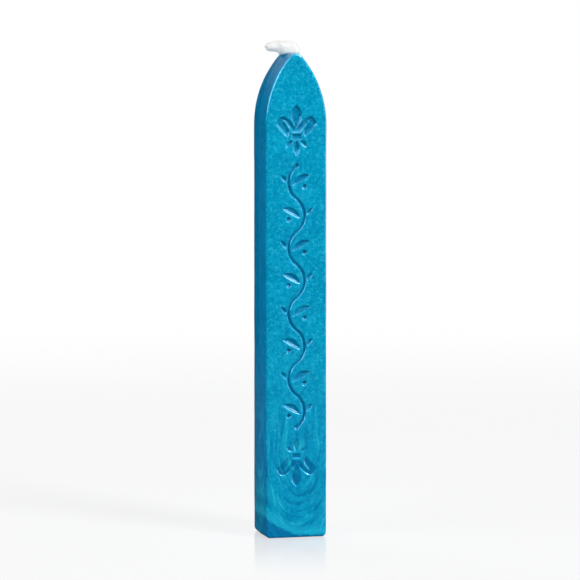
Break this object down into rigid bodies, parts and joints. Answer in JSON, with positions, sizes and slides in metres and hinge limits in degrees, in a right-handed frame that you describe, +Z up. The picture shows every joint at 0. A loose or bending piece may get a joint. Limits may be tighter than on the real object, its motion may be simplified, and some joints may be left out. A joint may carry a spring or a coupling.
{
  "type": "sealing wax stick",
  "caption": "Pointed bar of pearl blue sealing wax with a bent cotton wick, sunk ornament on its front face and a flat base to stand on.",
  "frame": {"origin": "middle of the flat base, on the surface that the stick stands on", "axes": "+Z up along the stick from base to tip, -Y out of the ornamented front face, the wick's stub points along -X"},
  "size_m": [0.012, 0.0102, 0.0923],
  "materials": {
    "pearl_wax": "satin pearl wax",
    "cotton_wick": "waxed cotton cord"
  },
  "bodies": {
    "root": {"wax_body": "pearl_wax", "wick": "cotton_wick"}
  },
  "joints": []
}
